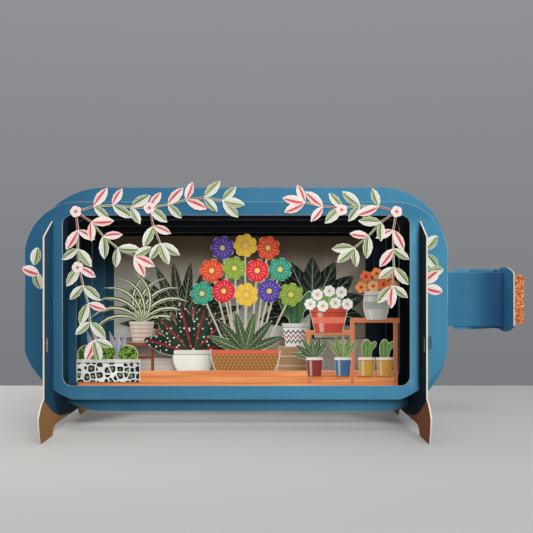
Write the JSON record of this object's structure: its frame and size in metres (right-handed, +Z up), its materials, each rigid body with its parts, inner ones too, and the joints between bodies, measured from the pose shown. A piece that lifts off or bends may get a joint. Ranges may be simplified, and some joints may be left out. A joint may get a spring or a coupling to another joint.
{
  "type": "greeting card",
  "caption": "Standing theatre card: layered die-cut panels in the outline of a bottle lying on its side, crossed by two footed cradles, with a planted scene inside.",
  "frame": {"origin": "on the table, under the middle of the whole card", "axes": "+X along the bottle towards its neck, -Y towards the viewer, +Z up"},
  "size_m": [0.2408, 0.116, 0.1154],
  "materials": {
    "blue_card": "matt coated card, printed blue, pale cut edges",
    "kraft_card": "matt card, printed blue above and kraft brown below",
    "tray_card": "matt printed card",
    "strip_card": "matt card, printed orange",
    "leaf_card": "matt printed card, green and cream",
    "scene_card": "matt printed card in several colours",
    "fern_card": "matt printed card, dark green"
  },
  "bodies": {
    "root": {"front_panel": "blue_card", "middle_panel": "blue_card", "rear_panel": "blue_card", "rear_tray": "tray_card", "left_cradle": "kraft_card", "right_cradle": "kraft_card", "lip_disc": "blue_card", "neck_brace": "blue_card", "front_floor_strip": "strip_card", "rear_floor_strip": "strip_card", "left_garland": "leaf_card", "right_garland": "leaf_card", "planter_box": "scene_card", "shelf_stand": "strip_card", "daisy_pot": "scene_card", "jug_blooms": "scene_card", "red_pot": "scene_card", "blue_pot": "scene_card", "mustard_pots": "scene_card", "stool_plant": "scene_card", "bowl_plant": "scene_card", "basket_bouquet": "scene_card", "crate_cactus": "scene_card", "fern_left": "fern_card", "fern_right": "fern_card"}
  },
  "joints": []
}
